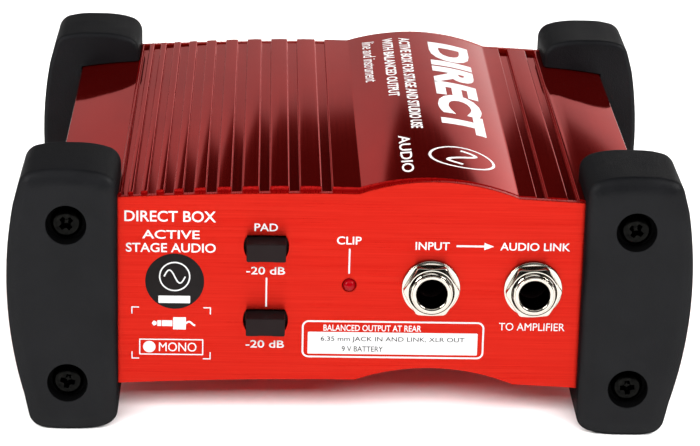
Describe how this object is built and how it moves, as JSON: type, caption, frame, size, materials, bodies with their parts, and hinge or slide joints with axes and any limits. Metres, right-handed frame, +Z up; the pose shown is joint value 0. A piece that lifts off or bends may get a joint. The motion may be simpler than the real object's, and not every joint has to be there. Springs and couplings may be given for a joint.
{
  "type": "direct injection box",
  "caption": "Small stage direct injection box: ribbed red anodised extrusion between brushed end panels, rubber corner bumpers, jack sockets, push buttons and an XLR output.",
  "frame": {"origin": "middle of the box's footprint, on the surface that the four bumpers stand on", "axes": "+Z up, +Y towards the rear panel, so the front panel with the jack sockets faces -Y, and +X to the right seen from the front"},
  "size_m": [0.1486, 0.13, 0.06],
  "materials": {
    "red_anodised": "extruded aluminium, glossy deep red anodising",
    "red_brushed": "bright red anodising over a horizontal brushed grain",
    "black_rubber": "fine matt moulded rubber with softly rounded edges",
    "black_steel": "black oxide, oiled and slightly glossy",
    "black_plastic": "satin moulded plastic",
    "nickel": "bright nickel plating",
    "contact_metal": "plated contact metal",
    "red_lens": "clear red epoxy",
    "green_lens": "clear green epoxy",
    "board_green": "solder mask on glass fibre board",
    "battery_wrap": "plain printed steel jacket",
    "core_steel": "stacked steel laminations",
    "winding_tape": "polyester tape over copper wire",
    "capacitor_sleeve": "shrink sleeve on an aluminium can",
    "red_insulation": "flexible wire insulation",
    "black_insulation": "flexible wire insulation"
  },
  "bodies": {
    "case": {"battery": "battery_wrap", "battery_lead_black": "black_insulation", "battery_lead_red": "red_insulation", "battery_snap": "black_plastic", "battery_tray": "black_plastic", "bumper_front_left": "black_rubber", "bumper_front_right": "black_rubber", "bumper_rear_left": "black_rubber", "bumper_rear_right": "black_rubber", "cabinet_switch": "black_plastic", "clip_led": "red_lens", "front_panel": "red_brushed", "ground_lift_switch": "black_plastic", "housing_extrusion": "red_anodised", "input_jack_body": "black_plastic", "input_jack_bushing": "nickel", "input_jack_contact": "contact_metal", "input_jack_nut": "nickel", "input_jack_washer": "nickel", "link_jack_body": "black_plastic", "link_jack_bushing": "nickel", "link_jack_contact": "contact_metal", "link_jack_nut": "nickel", "link_jack_washer": "nickel", "main_board": "board_green", "op_amp": "black_plastic", "pad_lower_switch": "black_plastic", "pad_upper_switch": "black_plastic", "power_led": "green_lens", "power_switch": "black_plastic", "rear_panel": "red_brushed", "screw_front_left_lower": "black_steel", "screw_front_left_upper": "black_steel", "screw_front_right_lower": "black_steel", "screw_front_right_upper": "black_steel", "screw_rear_left_lower": "black_steel", "screw_rear_left_upper": "black_steel", "screw_rear_right_lower": "black_steel", "screw_rear_right_upper": "black_steel", "supply_capacitor": "capacitor_sleeve", "switch_board": "board_green", "transformer_core": "core_steel", "transformer_winding": "winding_tape", "xlr_insert": "black_plastic", "xlr_pin_1": "contact_metal", "xlr_pin_2": "contact_metal", "xlr_pin_3": "contact_metal", "xlr_screw_lower": "black_steel", "xlr_screw_upper": "black_steel", "xlr_shell": "nickel"},
    "pad_upper_press": {"pad_upper_button": "black_plastic", "pad_upper_plunger": "black_plastic"},
    "pad_lower_press": {"pad_lower_button": "black_plastic", "pad_lower_plunger": "black_plastic"},
    "ground_lift_press": {"ground_lift_button": "black_plastic", "ground_lift_plunger": "black_plastic"},
    "cabinet_press": {"cabinet_button": "black_plastic", "cabinet_plunger": "black_plastic"},
    "power_press": {"power_button": "black_plastic", "power_plunger": "black_plastic"}
  },
  "joints": [
    {"name": "pad_upper_travel", "type": "slide", "parent": "case", "child": "pad_upper_press", "axis": [0, 1, 0], "range_m": [0, 0.0025], "stiffness_N_per_m": 400},
    {"name": "pad_lower_travel", "type": "slide", "parent": "case", "child": "pad_lower_press", "axis": [0, 1, 0], "range_m": [0, 0.0025], "stiffness_N_per_m": 400},
    {"name": "ground_lift_travel", "type": "slide", "parent": "case", "child": "ground_lift_press", "axis": [0, -1, 0], "range_m": [0, 0.0025], "stiffness_N_per_m": 400},
    {"name": "cabinet_travel", "type": "slide", "parent": "case", "child": "cabinet_press", "axis": [0, -1, 0], "range_m": [0, 0.0025], "stiffness_N_per_m": 400},
    {"name": "power_travel", "type": "slide", "parent": "case", "child": "power_press", "axis": [0, -1, 0], "range_m": [0, 0.0025], "stiffness_N_per_m": 400}
  ]
}
